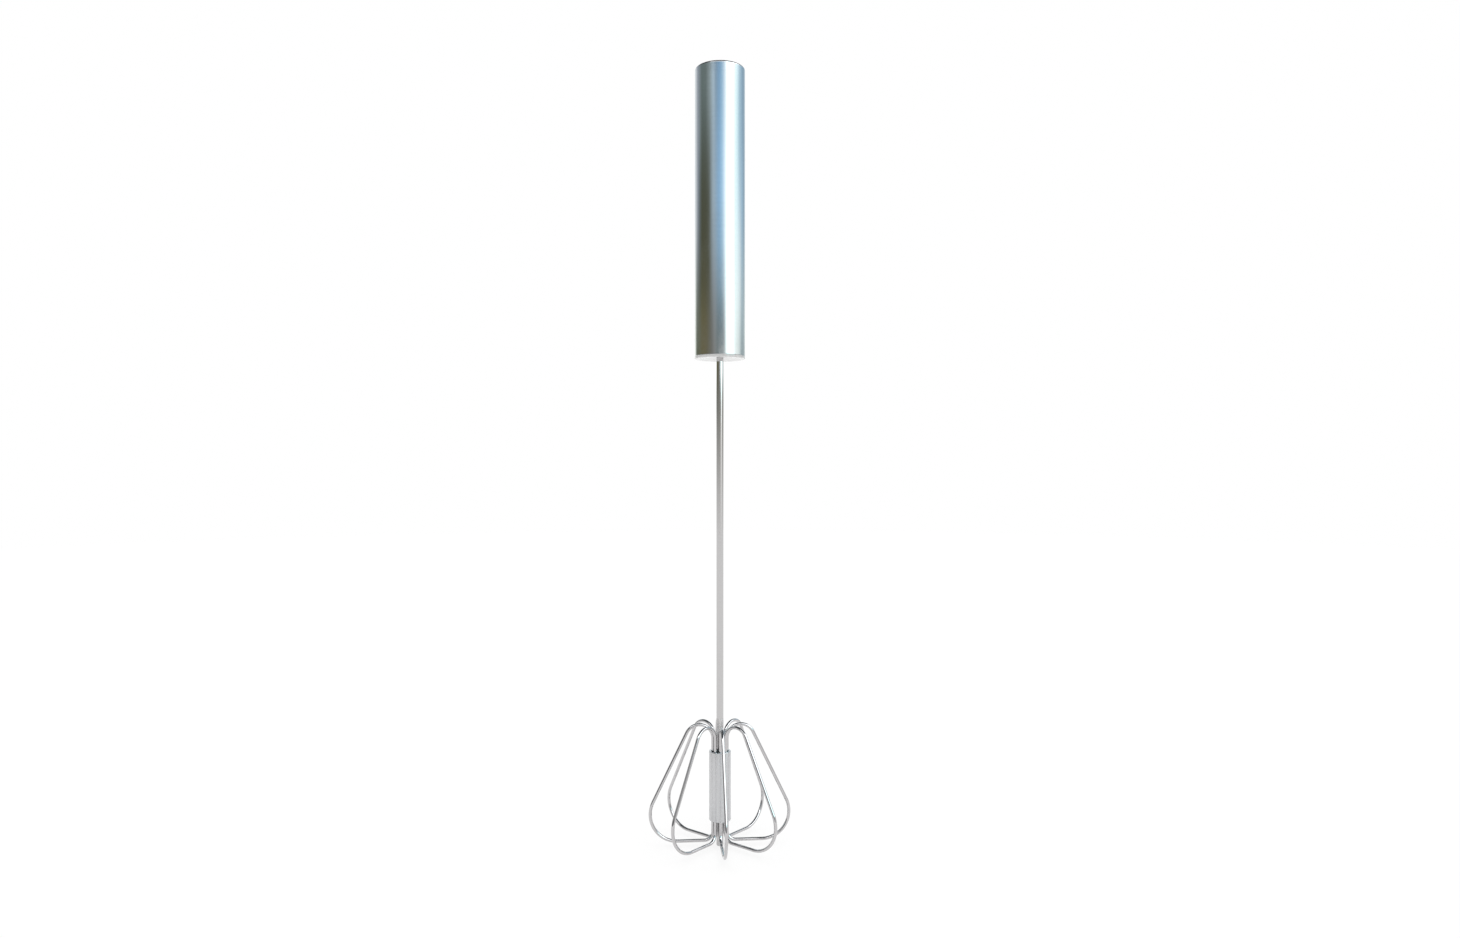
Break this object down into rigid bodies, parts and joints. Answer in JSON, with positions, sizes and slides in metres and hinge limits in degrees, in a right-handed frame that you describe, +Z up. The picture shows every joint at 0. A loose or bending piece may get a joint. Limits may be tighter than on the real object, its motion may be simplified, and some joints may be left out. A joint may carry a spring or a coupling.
{
  "type": "egg beater",
  "caption": "Push-down rotary whisk: a tubular steel handle slides on a thin shaft and a helical drive inside it spins a cluster of wire loops about the shaft's tip.",
  "frame": {"origin": "centre of the shaft's lower tip, where the whisk stands and turns", "axes": "+Z up the shaft to the handle; the first wire loop points along -Y"},
  "size_m": [0.0652, 0.0652, 0.3553],
  "materials": {
    "handle_steel": "satin-polished stainless tube",
    "cap_plastic": "moulded white nylon",
    "liner_plastic": "moulded natural acetal",
    "spring_steel": "drawn spring wire",
    "bump_rubber": "moulded rubber",
    "drive_brass": "machined brass",
    "shaft_steel": "ground stainless rod",
    "hub_steel": "satin stainless sleeve",
    "wire_steel": "bright-drawn stainless wire"
  },
  "bodies": {
    "handle": {"handle_tube": "handle_steel", "end_cap": "cap_plastic", "helix_liner": "liner_plastic", "spring_cap": "liner_plastic", "return_spring": "spring_steel", "bump_washer": "bump_rubber"},
    "seat": {"spring_seat": "drive_brass"},
    "whisk": {"drive_head": "drive_brass", "drive_pin": "spring_steel", "shaft": "shaft_steel", "core_sleeve": "hub_steel", "hub_sleeve": "hub_steel", "whisk_wire_1": "wire_steel", "whisk_wire_2": "wire_steel", "whisk_wire_3": "wire_steel", "whisk_wire_4": "wire_steel", "whisk_wire_5": "wire_steel", "whisk_wire_6": "wire_steel", "whisk_wire_7": "wire_steel", "whisk_wire_8": "wire_steel"}
  },
  "joints": [
    {"name": "plunge", "type": "slide", "parent": "handle", "child": "seat", "axis": [0, 0, 1], "range_m": [0, 0.075], "stiffness_N_per_m": 60, "springref_m": -0.02, "deforming": ["return_spring"]},
    {"name": "spin", "type": "hinge", "parent": "seat", "child": "whisk", "pos_m": [0, 0, 0.24], "axis": [0, 0, 1], "range_deg": [0, 751]}
  ],
  "couplings": [
    {"joint": "spin", "follows": "plunge", "rad_per_m": 174.53}
  ]
}
